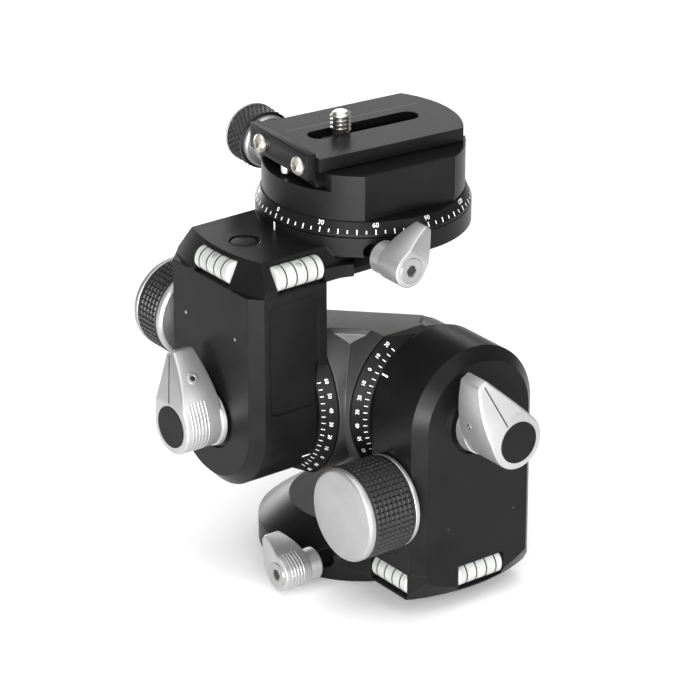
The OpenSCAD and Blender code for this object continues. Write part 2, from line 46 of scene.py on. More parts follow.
# shared sizes in millimetres and degrees, and the frames that the pieces are drawn in

mm = 0.001
housing = {"axisHeight": 59.5, "axisRise": 1.6, "face": 57.2, "halfWidth": 22.8, "panTurn": -5.6}
lift, inkDepth = 0.02, 0.06  # how far a flat mark stands off its face, and how thick a drawn line is
alongAxis, upZ = Vector((1, 0, 0)), Vector((0, 0, 1))


def turned(degrees, axis):
    return Matrix.Rotation(math.radians(degrees), 4, axis)


def compass(degrees):
    return math.cos(math.radians(degrees)), math.sin(math.radians(degrees))


lowFrame = Matrix.Translation((0, 0, housing["axisHeight"] * mm)) @ Matrix.Scale(mm, 4)
crossed = Matrix(((0, -1, 0, 0), (-1, 0, 0, 0), (0, 0, -1, 0), (0, 0, 0, 1)))
upFrame = lowFrame @ crossed  # the upper half is the lower half, crossed and upside down
panFrame = lowFrame @ turned(housing["panTurn"], "Z")
alongX, againstX = turned(90, "Y"), turned(-90, "Y")  # these lay a Z axis along or against X
alongY, againstY = turned(-90, "X"), turned(90, "X")


# small node helpers

def newMaterial(name):
    mat = bpy.data.materials.new(name)
    mat.use_nodes = True
    return mat, mat.node_tree, mat.node_tree.nodes["Principled BSDF"]


def addNode(tree, kind, **settings):
    node = tree.nodes.new(kind)
    for key, value in settings.items():
        if key in node.inputs:
            node.inputs[key].default_value = value
        else:
            setattr(node, key, value)
    return node


def noiseOf(tree, scale, detail):
    coord = addNode(tree, "ShaderNodeTexCoord")
    noise = addNode(tree, "ShaderNodeTexNoise", Scale=scale, Detail=detail)
    tree.links.new(coord.outputs["Object"], noise.inputs["Vector"])
    return noise.outputs["Fac"]


def rgba(colour):
    return (colour, colour, colour, 1) if isinstance(colour, float) else (*colour, 1)


def toneOf(tree, source, dark, light):
    ramp = addNode(tree, "ShaderNodeValToRGB")
    for element, position, colour in zip(ramp.color_ramp.elements, (0.3, 0.7), (dark, light)):
        element.position, element.color = position, rgba(colour)
    tree.links.new(source, ramp.inputs["Fac"])
    return ramp.outputs["Color"]


# finishes

grain = {
    "toneScale": 60, "toneDetail": 4.0, "fineScale": 900, "fineDetail": 2.0,
    "spread": 0.06, "depth": 0.0002,
}


def metalFinish(name, dark, light, metallic, rough, bump=0.05, edge=0.0004, specular=0.5):
    mat, tree, shader = newMaterial(name)
    tone = toneOf(tree, noiseOf(tree, grain["toneScale"], grain["toneDetail"]), dark, light)
    tree.links.new(tone, shader.inputs["Base Color"])
    shader.inputs["Metallic"].default_value = metallic
    shader.inputs["Specular IOR Level"].default_value = specular
    fine = noiseOf(tree, grain["fineScale"], grain["fineDetail"])
    spread = addNode(tree, "ShaderNodeMapRange")
    spread.inputs["To Min"].default_value = rough - grain["spread"]
    spread.inputs["To Max"].default_value = rough + grain["spread"]
    tree.links.new(fine, spread.inputs["Value"])
    tree.links.new(spread.outputs["Result"], shader.inputs["Roughness"])
    relief = addNode(tree, "ShaderNodeBump", Strength=bump, Distance=grain["depth"])
    tree.links.new(fine, relief.inputs["Height"])
    if edge:
        soft = addNode(tree, "ShaderNodeBevel", samples=6, Radius=edge)
        tree.links.new(soft.outputs["Normal"], relief.inputs["Normal"])
    tree.links.new(relief.outputs["Normal"], shader.inputs["Normal"])
    return mat


finishes = {  # darkest and lightest colour, metallic, roughness
    "black_anodised": metalFinish("blackAnodised", (0.004, 0.004, 0.0042), (0.007, 0.007, 0.0073), 0.0, 0.33,
                                  specular=0.12),
    "grey_anodised": metalFinish("greyAnodised", (0.040, 0.039, 0.039), (0.052, 0.051, 0.051), 0.3, 0.36,
                                 specular=0.7),
    "knob_black": metalFinish("knobBlack", 0.004, 0.008, 0.0, 0.42, edge=0.0001),
    "satin_silver": metalFinish("satinSilver", 0.38, 0.45, 0.8, 0.4, bump=0.08),
    "steel": metalFinish("turnedSteel", (0.30, 0.30, 0.30), (0.42, 0.42, 0.41), 0.9, 0.32),
    "polished_steel": metalFinish("polishedSteel", (0.62, 0.60, 0.56), (0.74, 0.72, 0.68), 1.0, 0.2,
                                  bump=0.02, edge=0.0001),
    "bronze": metalFinish("bronze", (0.50, 0.33, 0.12), (0.60, 0.42, 0.18), 0.9, 0.35),
    "vial": metalFinish("vialBody", (0.26, 0.27, 0.26), (0.42, 0.43, 0.41), 0.0, 0.2, bump=0.0),
    "black_cap": metalFinish("blackCap", 0.003, 0.006, 0.0, 0.4, specular=0.12),
}
slotOf = {p["node"]: p["material_slot"] for p in frame["record"]["subparts"]}
for name, node in nodes.items():
    node.data.materials.clear()
    node.data.materials.append(finishes[slotOf[name]])
ringBlack = metalFinish("ringBlack", 0.003, 0.005, 0.0, 0.45, specular=0.08)
for name in ("scale_ring_low", "scale_ring_up"):
    nodes[name].data.materials[0] = ringBlack  # dull, so that the scale reads
print("CAD nodes finished")


# mesh helpers

sharpAngle, bevelAngle = 32, 25


def finishPiece(bm, name, place, body, slotName, material=None, hides=()):
    bm.transform(place)
    mesh = bpy.data.meshes.new(name)
    bm.to_mesh(mesh)
    bm.free()
    mesh.shade_smooth()
    mesh.set_sharp_from_angle(angle=math.radians(sharpAngle))
    mesh.materials.append(material or finishes[slotName])
    piece = bpy.data.objects.new(name, mesh)
    bpy.context.scene.collection.objects.link(piece)
    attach(piece, body)
    if hides:
        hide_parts(*hides)


def joinMeshes(bm, other):
    spare = bpy.data.meshes.new("spare")
    other.to_mesh(spare)
    other.free()
    bm.from_mesh(spare)
    bpy.data.meshes.remove(spare)
    return bm


def tidyShell(bm):
    bmesh.ops.remove_doubles(bm, verts=bm.verts, dist=0.0005)
    bmesh.ops.recalc_face_normals(bm, faces=bm.faces)


def addLine(bm, points):
    verts = [bm.verts.new(point) for point in points]
    return verts, [bm.edges.new(pair) for pair in zip(verts, verts[1:])]


def turnedShape(profile, steps):
    bm = bmesh.new()  # profile of radius and height, turned about Z
    verts, edges = addLine(bm, [(r, 0, z) for r, z in profile])
    bmesh.ops.spin(bm, geom=verts + edges, cent=(0, 0, 0), axis=(0, 0, 1), angle=math.tau,
                   steps=steps, use_merge=True)
    tidyShell(bm)
    return bm


def turnedRing(radius, bore, base, outline, steps):
    points = [(radius - inset, base + height) for inset, height in outline]
    low, high = points[0][1], points[-1][1]
    return turnedShape([(bore, low), *points, (bore, high), (bore, low)], steps)


def addTick(bm, width, length, place):
    bmesh.ops.create_cube(bm, size=1, matrix=place @ Matrix.Diagonal((width, length, inkDepth, 1)))


def addDisc(bm, radius, place, segments):
    bmesh.ops.create_circle(bm, cap_ends=True, segments=segments, radius=radius, matrix=place)


def surfacePlace(point, up, normal):
    right = up.cross(normal)
    place = Matrix((right, up, normal)).transposed().to_4x4()
    place.translation = point
    return place


def facePlace(x, y, z):
    return surfacePlace(Vector((x, y, z)), upZ, alongAxis)


def softenEdges(bm, width):
    edges = [e for e in bm.edges if e.is_manifold and e.calc_face_angle(0) > math.radians(bevelAngle)]
    bmesh.ops.bevel(bm, geom=edges, offset=width, offset_type="OFFSET", affect="EDGES", segments=3,
                    profile=0.5, material=-1, clamp_overlap=True)


def steadyFaces(bm):
    for face in [f for f in bm.faces if len(f.verts) > 4]:  # many-sided faces split alike on every run
        verts = list(face.verts)
        first = verts.index(max(verts, key=lambda v: tuple(round(c, 4) for c in v.co.zyx)))
        bm.faces.remove(face)
        bm.faces.new(verts[first:] + verts[:first])


def softCopy(nodeName, body, width):
    bm = bmesh.new()  # the CAD solid again with its hard edges rounded
    bm.from_mesh(nodes[nodeName].data)
    bmesh.ops.remove_doubles(bm, verts=bm.verts, dist=1e-6)
    bmesh.ops.dissolve_limit(bm, angle_limit=math.radians(1), verts=bm.verts, edges=bm.edges)
    softenEdges(bm, width * mm)
    finishPiece(bm, nodeName + "Shape", Matrix.Identity(4), body, slotOf[nodeName], hides=[nodeName])


# worm knobs and the clamp knob

wormKnob = {
    "radius": 14.5, "start": 25.4, "bore": 4.0, "columns": 52, "relief": 0.5, "twist": 0, "border": 0.7,
    "landShare": 0.8, "padGap": 0.3, "rimInset": 0.3, "coreInset": 0.2, "capInset": 0.1, "capChamfer": 0.3,
    "capRim": 1.2, "capShoulder": (0.6, 2.55), "capRise": 2.6, "collarBore": 4, "collarInset": 0.25,
    "collar": ((1.1, -2.1), (0.3, -1.6), (0, -0.9), (0, -0.2), (0.2, 0)),  # in from the rim, up from the grip
}
knobLow = {**wormKnob, "length": 14.8, "rows": 8, "centre": (45.5, 0, -22)}
knobUp = {**wormKnob, "length": 9.8, "rows": 5, "centre": (45.5, 0, -20.2)}
clampKnob = {
    **wormKnob, "radius": 9.4, "start": 32.6, "length": 8.9, "columns": 34, "rows": 5, "relief": 0.6,
    "twist": 0.5, "centre": (0, -15, 65.9), "rimWidth": 1.6, "rim": ((0.1, -0.6), (0.1, -0.1), (0.5, 0.15)),
    "collarBore": 3, "collarInset": 1.2, "collar": ((0.6, -2), (0, -1.4), (0, -0.2), (0.2, 0)),
}
spunSilver = metalFinish("spunSilver", 0.29, 0.36, 0.8, 0.42, bump=0.08)


def knurledGrip(knob):
    border, low, core = knob["border"], knob["start"], knob["radius"] - knob["relief"]
    step = (knob["length"] - 2 * border) / knob["rows"]
    twist = Matrix.Rotation(math.tau * knob["twist"] / knob["columns"], 3, "Z")
    bm = bmesh.new()
    ring = bmesh.ops.create_circle(bm, segments=knob["columns"], radius=core, cap_ends=False)
    bmesh.ops.translate(bm, verts=ring["verts"], vec=(0, 0, low + border))
    edges = list(bm.edges)
    for row in range(knob["rows"]):
        made = bmesh.ops.extrude_edge_only(bm, edges=edges)["geom"]
        moved = [g for g in made if isinstance(g, bmesh.types.BMVert)]
        edges = [g for g in made if isinstance(g, bmesh.types.BMEdge) and set(g.verts) <= set(moved)]
        bmesh.ops.translate(bm, verts=moved, vec=(0, 0, step))
        bmesh.ops.rotate(bm, verts=moved, matrix=twist)
    pads = list(bm.faces)
    bmesh.ops.recalc_face_normals(bm, faces=pads)
    if pads[0].normal.dot(pads[0].calc_center_median() * Vector((1, 1, 0))) < 0:
        bmesh.ops.reverse_faces(bm, faces=pads)  # an open tube may come out inside out
    if knob["twist"]:
        bmesh.ops.poke(bm, faces=pads, offset=knob["relief"])  # pointed knurl
    else:
        bmesh.ops.inset_individual(bm, faces=pads, thickness=step * knob["padGap"], depth=knob["relief"])
    outer, valley, high = knob["radius"] - knob["rimInset"], core - knob["coreInset"], low + knob["length"]
    land = border * knob["landShare"]
    rims = turnedShape([(knob["bore"], low), (outer, low), (outer, low + land), (valley, low + border),
                        (valley, high - border), (outer, high - land), (outer, high),
                        (knob["bore"], high)], knob["columns"])
    return joinMeshes(bm, rims)


def knobCap(knob):
    r, low, rim = knob["radius"] - knob["capInset"], knob["start"] + knob["length"], knob["capRim"]
    profile = [(0, low), (r - knob["capChamfer"], low), (r, low + knob["capChamfer"])]
    for degrees in range(90, -1, -15):  # rolled rim round a slightly domed face
        c, s = compass(degrees)
        profile.append((r - rim + rim * s, low + rim + rim * c))
    share, rise = knob["capShoulder"]
    return turnedShape(profile + [(r * share, low + rise), (0, low + knob["capRise"])], 96)


def knobCollar(knob, steps):
    r = knob["radius"] - knob["collarInset"]  # plain bright shoulder behind the knurl
    return turnedRing(r, knob["collarBore"], knob["start"], knob["collar"], steps)


def knobRim(knob):
    r, base = knob["radius"], knob["start"] + knob["length"]  # bright turned ring at the outer end
    return turnedRing(r, r - knob["rimWidth"], base, knob["rim"], 72)


for half, knob, frameOf, turn in (("Low", knobLow, lowFrame, againstY), ("Up", knobUp, upFrame, alongY)):
    end, place = half.lower(), frameOf @ Matrix.Translation(knob["centre"]) @ turn
    body = "worm_" + end
    finishPiece(knurledGrip(knob), "grip" + half, place, body, "knob_black", hides=["knob_grip_" + end])
    finishPiece(knobCap(knob), "cap" + half, place, body, "satin_silver", spunSilver,
                hides=["knob_cap_" + end])
    finishPiece(knobCollar(knob, 96), "collar" + half, place, body, "satin_silver",
                hides=["knob_collar_" + end])
clampPlace = panFrame @ Matrix.Translation(clampKnob["centre"]) @ againstX
finishPiece(knurledGrip(clampKnob), "gripClamp", clampPlace, "qr_knob", "knob_black", hides=["qr_grip"])
finishPiece(knobRim(clampKnob), "clampRim", clampPlace, "qr_knob", "satin_silver")
finishPiece(knobCollar(clampKnob, 72), "clampCollar", clampPlace, "qr_knob", "satin_silver", spunSilver)
print("knobs made")


# levers

lockLever = {
    "radius": 8.7, "hub": 9.4, "cap": 6.5, "flat": 0.7, "reach": 17.5, "drop": 5.6, "length": 22, "tip": 1.7,
    "tangent": 8, "pull": 11, "back": 0.1, "soft": 0.6, "slit": 0.4, "slitEnds": (0.8, 0.9), "slitShare": 0.3,
    "ribs": 6, "ribPitch": 1.15, "ribHeight": 0.1, "ribSpan": (-66, 0.34),
}
clampLever = {
    "outer": 14.0, "inner": 4.5, "radius": 5.4, "hub": 5.1, "cap": 3.9, "flat": 0.7, "reach": 10.8, "drop": 4,
    "length": 13.8, "tip": 1.1, "tangent": 8, "pull": 6.5, "back": 0.1, "soft": 0.4,
    "socket": 1.75, "socketLift": 0.06,
    "ribs": 5, "ribPitch": 1.1, "ribHeight": 0.12, "ribSpan": (-66, 0.3),
}
ribShape = {"inset": 1.9, "share": 0.7, "root": -0.2, "step": 8, "flankSteps": 6}
leverShape = {"flankSteps": 12, "arcStep": 8, "hubChamfer": 0.5, "hubTaper": 0.3, "hubLap": 0.6}
# painted shade on the thread roots and painted highlight on the plate line: grey, darker than polished steel
# and lighter than black
paintedShadeAndSheen = metalFinish("paintedShadeAndSheen", (0.05, 0.05, 0.05), (0.09, 0.09, 0.085), 0.6, 0.35, bump=0.0, edge=0)
# painted shade: near-black laid flat into slits, sockets and holes where the recess is in shade
paintedRecessShade = metalFinish("paintedRecessShade", 0.004, 0.006, 0.0, 0.5, bump=0.0, edge=0)


def leverPlace(frameOf, at, facing, turn):
    return frameOf @ Matrix.Translation(at) @ turned(facing, "Z") @ turned(turn, "X")


levers = {  # outer and inner end along the axis, and degrees that the tip swings to one side
    "lockLow": {**lockLever, "node": "lock_lever_low", "body": "lock_low", "outer": 18.3, "inner": 3.4,
                "lean": 10, "place": leverPlace(lowFrame, (57.5, 0, housing["axisRise"]), 0, 37)},
    "lockUp": {**lockLever, "node": "lock_lever_up", "body": "lock_up", "outer": 14.5, "inner": 1.2,
               "lean": -14, "place": leverPlace(upFrame, (57.5, 0, housing["axisRise"]), 0, 184)},
    "footClamp": {**clampLever, "node": "foot_lever", "body": "foot_clamp",
                  "lean": -14, "place": leverPlace(lowFrame, (17, -31.7, -52.6), -90, 45)},
    "panClamp": {**clampLever, "node": "pan_lever", "body": "pan_clamp",
                 "lean": 0, "place": leverPlace(upFrame, (17, -31.7, -50.6), -90, 138)},
}


def hubPoint(lever, degrees):
    c, s = compass(degrees)
    return Vector((0, lever["radius"] * c, lever["radius"] * s))


def leverFlank(lever, side, share):
    start = hubPoint(lever, lever["tangent"]) * Vector((1, side, 1))
    (c, s), (leanCos, leanSin) = compass(lever["tangent"]), compass(lever["lean"])
    middle = start + Vector((0, -side * s, c)) * lever["pull"]
    along, across = Vector((0, leanSin, leanCos)), Vector((0, leanCos, -leanSin))
    end = along * lever["length"] + across * side * lever["tip"]
    point = start.lerp(middle, share).lerp(middle.lerp(end, share), share)
    up = ((middle - start) * (1 - share) + (end - middle) * share).normalized()
    return point, up, Vector((0, side * up.z, -side * up.y))  # point, direction to the tip and outward normal


def leverBody(lever):
    outer, inner, tangent, hubRadius = lever["outer"], lever["inner"], lever["tangent"], lever["hub"]
    steps, arcStep, chamfer = leverShape["flankSteps"], leverShape["arcStep"], leverShape["hubChamfer"]
    left = [leverFlank(lever, -1, i / steps)[0] for i in range(steps + 1)]
    right = [leverFlank(lever, 1, i / steps)[0] for i in range(steps, -1, -1)]
    low = [hubPoint(lever, t) for t in range(tangent - arcStep, arcStep // 2 - 180 - tangent, -arcStep)]
    bm = bmesh.new()
    outline = bm.faces.new([bm.verts.new(point + alongAxis * inner) for point in left + right + low])
    made = bmesh.ops.extrude_face_region(bm, geom=[outline])["geom"]
    moved = [g for g in made if isinstance(g, bmesh.types.BMVert)]
    bmesh.ops.translate(bm, vec=(outer - inner, 0, 0), verts=moved)
    front = Vector((outer, 0, lever["cap"] + lever["flat"])), Vector((1, 0, lever["drop"] / lever["reach"]))
    back = Vector((inner, 0, lever["radius"])), Vector((-1, 0, lever["back"]))
    for point, normal in (front, back):  # the two slopes of the thumb part
        bmesh.ops.bisect_plane(bm, geom=bm.verts[:] + bm.edges[:] + bm.faces[:], plane_co=point,
                               plane_no=normal, clear_outer=True)
        bmesh.ops.holes_fill(bm, edges=[e for e in bm.edges if e.is_boundary])
    bmesh.ops.recalc_face_normals(bm, faces=bm.faces)
    softenEdges(bm, lever["soft"])
    steadyFaces(bm)
    hubTop, hubEnd = hubRadius - leverShape["hubTaper"], inner + leverShape["hubLap"]
    hub = turnedShape([(0, 0), (hubRadius - chamfer, 0), (hubRadius, chamfer), (hubTop, hubEnd),
                       (0, hubEnd)], 72)
    hub.transform(alongX)
    return joinMeshes(bm, hub)


def outlineRibs(lever):
    bm = bmesh.new()  # reeded band round the thumb side
    start, share = lever["ribSpan"]
    steps, height = ribShape["flankSteps"], lever["ribHeight"]
    arc = range(start, lever["tangent"], ribShape["step"])
    stations = [(hubPoint(lever, t), Vector((0, *compass(t)))) for t in arc]
    stations += [leverFlank(lever, 1, share * i / steps)[::2] for i in range(steps + 1)]
    width, root = ribShape["share"] * lever["ribPitch"], ribShape["root"]
    section = ((root, 0), (height, width * 0.25), (height, width * 0.75), (root, width))
    for i in range(lever["ribs"]):
        at = lever["outer"] - ribShape["inset"] - i * lever["ribPitch"]
        lines = [addLine(bm, [point + normal * rise + alongAxis * (at - along) for rise, along in section])[1]
                 for point, normal in stations]
        for line, nextLine in zip(lines, lines[1:]):
            bmesh.ops.bridge_loops(bm, edges=line + nextLine)
    tidyShell(bm)
    return bm


def leverSlit(lever):
    bm = bmesh.new()  # fine saw cut down the sloped front, drawn as a flat strip of painted shade
    slope, lean = lever["drop"] / lever["reach"], math.radians(lever["lean"])
    near, far = lever["slitEnds"]
    low, high = lever["cap"] + near, (lever["length"] - far) * math.cos(lean)
    ends = []
    for z, share in ((low, lever["slitShare"]), (high, 1)):
        fall = slope * (z - lever["cap"] - lever["flat"])
        ends.append(Vector((lever["outer"] - fall, z * math.tan(lean) * share, z)))
    start, end = ends
    place = surfacePlace((start + end) / 2, (end - start).normalized(), Vector((1, 0, slope)).normalized())
    addTick(bm, lever["slit"], (end - start).length, place)
    return bm


def hexSocket(lever):
    # painted shade: a flat dark hexagon where the socket's recess is
    bm = bmesh.new()
    addDisc(bm, lever["socket"], facePlace(lever["outer"] + lever["socketLift"], 0, 0), 6)
    return bm


for name, lever in levers.items():
    place, body = lever["place"], lever["body"]
    finishPiece(leverBody(lever), name + "Body", place, body, "satin_silver", hides=[lever["node"]])
    finishPiece(outlineRibs(lever), name + "Ribs", place, body, "satin_silver")
    if "slit" in lever:
        finishPiece(leverSlit(lever), name + "Slit", place, body, "satin_silver", paintedRecessShade)
    else:
        finishPiece(hexSocket(lever), name + "Socket", place, body, "steel", paintedRecessShade)


# set screws

setScrewShape = {
    "socket": 0.5, "head": 0.82, "rim": 1.12,  # shares of the radius
    "sink": 0.7, "proud": 0.12, "lip": 0.02, "floor": 0.03,
}


def flankSpot(name, side, at, share):
    point, up, normal = leverFlank(levers[name], side, share)
    return levers[name]["place"] @ surfacePlace(point + alongAxis * at, up, normal)


def sideSpot(x, z):
    return lowFrame @ surfacePlace(Vector((x, -housing["halfWidth"], z)), upZ, Vector((0, -1, 0)))


def setScrew(radius):
    socket, head, rim = (radius * setScrewShape[key] for key in ("socket", "head", "rim"))
    sink, proud, lip = setScrewShape["sink"], setScrewShape["proud"], setScrewShape["lip"]
    profile = [(socket, -sink), (socket, proud), (head, proud), (radius, lip), (rim, lip), (rim, -sink)]
    return turnedShape(profile, 32)


def socketFloor(radius):
    # painted shade: a dark hexagon at the bottom of the socket
    bm = bmesh.new()
    addDisc(bm, radius * setScrewShape["socket"], Matrix.Translation((0, 0, setScrewShape["floor"])), 6)
    return bm


setScrews = {  # place, radius, body, slot
    "lockLowScrew": (flankSpot("lockLow", -1, 8.6, 0.42), 0.8, "lock_low", "polished_steel"),
    "lockUpScrew": (flankSpot("lockUp", 1, 7.6, 0.64), 1.8, "lock_up", "satin_silver"),
    "drumScrewLow": (sideSpot(44.9, -7.1), 1.5, "lower", "black_anodised"),
    "seamScrewLow": (sideSpot(45.5, -40.7), 0.9, "lower", "black_anodised"),
}
for name, (place, radius, body, slotName) in setScrews.items():
    finishPiece(setScrew(radius), name, place, body, slotName)
    finishPiece(socketFloor(radius), name + "Socket", place, body, slotName, paintedRecessShade)
print("levers and set screws made")


# camera plate, its screw and its end stop

cameraScrew = {
    "radius": 3.175, "root": 2.5, "pitch": 1.27, "crest": 0.16, "flank": 0.36, "sunk": 0.1, "steps": 28,
    "head": 5.4, "headLow": 71.8, "headHigh": 75.1, "low": 78.6, "high": 84.0, "tip": 84.6, "chamfer": 0.5,
    "shadeLift": 0.03, "shadeWall": 0.5, "shadeEnds": (0.2, 0.75),
    "place": panFrame @ Matrix.Translation((0, -8, 0)),
}
topLine = {"width": 0.3, "length": 46, "at": (-7.6, 0.6, 78.38)}
stopScrew = {
    "radius": 2.9, "height": 1.8, "socket": 1.25, "socketDepth": 1.2, "floorLift": 0.1, "lip": (0.25, 0.15),
    "crown": ((0.75, 0.35), (0.95, 0.9), (1, 1.3)), "spread": 11, "level": 75.0, "face": -29.2,
}
stopPin = {"radius": 1.6, "chamfer": 0.3, "low": 69.0, "high": 71.9, "at": (1.0, -27.6, 0)}
headSteel = metalFinish("headSteel", (0.40, 0.38, 0.34), (0.52, 0.50, 0.45), 0.75, 0.36, edge=0.0001)


def threadedScrew(screw):
    radius, root, head, tip, chamfer = (screw[key] for key in ("radius", "root", "head", "tip", "chamfer"))
    low, high = screw["headLow"], screw["headHigh"]
    shank = turnedShape([(0, low), (head, low), (head, high), (root, high), (root, tip - chamfer),
                         (root - chamfer, tip), (0, tip)], 40)
    thread, pitch, steps = bmesh.new(), screw["pitch"], screw["steps"]
    foot, flank, crest = root - screw["sunk"], screw["flank"], 0.5 * screw["crest"]
    section = ((foot, -flank), (radius, -crest), (radius, crest), (foot, flank))
    verts, edges = addLine(thread, [(r, 0, screw["low"] + h * pitch) for r, h in section])
    turns = (screw["high"] - screw["low"]) / pitch
    bmesh.ops.spin(thread, geom=verts + edges, cent=(0, 0, 0), axis=(0, 0, 1), dvec=(0, 0, pitch / steps),
                   angle=math.tau * turns, steps=int(steps * turns))
    bmesh.ops.recalc_face_normals(thread, faces=thread.faces)
    return joinMeshes(shank, thread)


def threadValley(screw):
    r, (low, high) = screw["root"] + screw["shadeLift"], screw["shadeEnds"]
    outline = ((0, screw["headHigh"] + low), (0, screw["tip"] - high))  # painted shade: a dark sleeve over the root between the crests
    return turnedRing(r, r - screw["shadeWall"], 0, outline, 40)


def plateLine(line):
    bm = bmesh.new()
    addTick(bm, line["width"], line["length"], Matrix.Translation(line["at"]))
    return bm


def stopPlaces(screw, out):
    return [Matrix.Translation((side * screw["spread"], screw["face"] - out, screw["level"])) @ againstY
            for side in (-1, 1)]


def stopScrewHeads(screw):
    bm = bmesh.new()
    r, h, socket, depth = (screw[key] for key in ("radius", "height", "socket", "socketDepth"))
    lipWidth, lipDrop = screw["lip"]
    profile = [(0, h - depth), (socket, h - depth), (socket, h - lipDrop), (socket + lipWidth, h)]
    profile += [(r * share, h - drop) for share, drop in screw["crown"]]
    for place in stopPlaces(screw, 0):
        head = turnedShape(profile + [(r, 0), (0, 0)], 40)
        head.transform(place)
        joinMeshes(bm, head)
    return bm


def stopSockets(screw):
    # painted shade: a dark hexagon near the bottom of each socket
    bm = bmesh.new()
    for place in stopPlaces(screw, screw["height"] - screw["socketDepth"] + screw["floorLift"]):
        addDisc(bm, screw["socket"], place, 6)
    return bm


def pinShape(pin):
    r, low, high, chamfer = pin["radius"], pin["low"], pin["high"], pin["chamfer"]
    bm = turnedShape([(0, low), (r - chamfer, low), (r, low + chamfer), (r, high), (0, high)], 32)
    bm.transform(Matrix.Translation(pin["at"]))
    return bm


screwPlace = cameraScrew["place"]
finishPiece(threadedScrew(cameraScrew), "threadedScrew", screwPlace, "camera_screw", "polished_steel",
            hides=["camera_screw"])
finishPiece(threadValley(cameraScrew), "threadValley", screwPlace, "camera_screw", "polished_steel",
            paintedShadeAndSheen)
# a line across the plate top, drawn lighter than the black plate as a painted highlight
finishPiece(plateLine(topLine), "plateLine", panFrame, "plate", "black_anodised", paintedShadeAndSheen)
finishPiece(stopScrewHeads(stopScrew), "stopScrewHeads", panFrame, "plate", "polished_steel", headSteel,
            hides=["stop_screws"])
finishPiece(stopSockets(stopScrew), "stopSockets", panFrame, "plate", "polished_steel", paintedRecessShade)
finishPiece(pinShape(stopPin), "stopPin", panFrame, "plate", "polished_steel")
softCopy("end_stop", "plate", 0.8)
print("plate screws made")


# plug, pin holes and side panels

plugDome = {
    "radius": 4.6, "rise": 0.45, "thick": 1.4, "edge": 0.35, "crown": 0.4, "inset": 0.15, "sink": 0.85,
    "at": (44.7, -0.6), "level": -52.1, "holeRadius": 0.75, "holeOffset": (1.0, 6.4),
}
pinHole = {"radius": 0.5, "lower": ((-11.2, -31.5), (14.0, -31.5)), "upper": ((-12.7, -27.6), (12.7, -27.6))}
sidePanel = {"centre": (42.7, -22), "half": (9.15, 18.15), "radius": 3.1, "width": 0.3, "lift": 0.04}
# painted highlight: a light grey for edges where light would catch
paintedEdgeHighlight = metalFinish("paintedEdgeHighlight", 0.10, 0.45, 0.2, 0.3, bump=0.0, edge=0)


def domedPlug(plug):
    r, thick, crown = plug["radius"], plug["thick"], plug["crown"]
    profile = [(0, thick), (r, thick), (r, -plug["edge"])]
    for degrees in range(15, 90, 15):
        c, s = compass(degrees)
        profile.append((r * c - plug["inset"], -crown - plug["rise"] * s))
    bm = turnedShape(profile + [(0, -crown - plug["rise"])], 48)
    bm.transform(Matrix.Translation((*plug["at"], plug["level"] + plug["sink"])))
    return bm


def plugHoles(plug):
    # painted shade: flat dark discs where the holes are
    bm = bmesh.new()
    (x, y), (dx, dy) = plug["at"], plug["holeOffset"]
    for side in (-1, 1):
        place = Matrix.Translation((x + dx * side, y + dy * side, plug["level"] - lift))
        addDisc(bm, plug["holeRadius"], place, 16)
    return bm


def faceHoles(holes):
    # flat discs standing for pin holes, coloured with painted light
    bm = bmesh.new()
    for y, z in holes:
        addDisc(bm, pinHole["radius"], facePlace(housing["face"] + lift, y, z), 16)
    return bm


def panelFrame(panel, side):
    bm = bmesh.new()  # painted highlight: a light strip round the edge of a shallow side panel
    (x, z), (w, h), r = panel["centre"], panel["half"], panel["radius"]
    level, points = side * (housing["halfWidth"] + panel["lift"]), []
    for cx, cz, start in ((w - r, h - r, 0), (r - w, h - r, 90), (r - w, r - h, 180), (w - r, r - h, 270)):
        arc = [compass(start + t) for t in range(0, 91, 15)]
        points += [(x + cx + r * c, level, z + cz + r * s) for c, s in arc]
    inside = bm.faces.new([bm.verts.new(point) for point in points])
    bmesh.ops.inset_region(bm, faces=[inside], thickness=panel["width"], use_boundary=True)
    bmesh.ops.delete(bm, geom=[inside], context="FACES")
    return bm


finishPiece(domedPlug(plugDome), "plugDome", upFrame, "upper", "black_anodised", hides=["plug_up"])
finishPiece(plugHoles(plugDome), "plugHoles", upFrame, "upper", "black_anodised", paintedRecessShade)
# lower pin holes get painted shade, upper ones a steel grey painted highlight
for body, frameOf, material in (("lower", lowFrame, paintedRecessShade), ("upper", upFrame, finishes["steel"])):
    finishPiece(faceHoles(pinHole[body]), body + "PinHoles", frameOf, body, "steel", material)
for half, frameOf, body, side in (("Low", lowFrame, "lower", 1), ("Up", upFrame, "upper", -1)):
    finishPiece(panelFrame(sidePanel, side), "panelFrame" + half, frameOf, body, "black_anodised", paintedEdgeHighlight)
print("small marks made")


# degree scales and their index lines

ringScale = {
    "zeroAt": 55, "low": -20, "high": 60, "tickStep": 5, "numberStep": 10, "tickRadius": 24.5,
    "numberRadius": 26.2, "tick": 1.2, "tickWidth": 0.19, "digit": 1.65, "ink": 0.04,
    "cone": (4, 3.8), "coneEdge": (30.4, 27.6),
}
drumIndex = {"turn": 57, "at": 36.1, "radius": 22.83, "width": 0.5, "length": 2.8}
panScale = {
    "zeroAt": -84.9, "tickStep": 5, "longStep": 10, "numberStep": 30, "tickHeight": 56.85,
    "numberHeight": 58.7, "tick": 1.0, "longTick": 1.5, "tickWidth": 0.3, "digit": 2.0, "ink": 0.04,
    "slope": (3.6, 1.7), "edge": (32.9, 56.0),
}
seatIndex = {"turn": -91, "radius": 32.9, "top": 54.9, "foot": 52.2, "width": 0.75}
whiteInk = metalFinish("whiteInk", 0.80, 0.90, 0.0, 0.6, bump=0.0, edge=0)


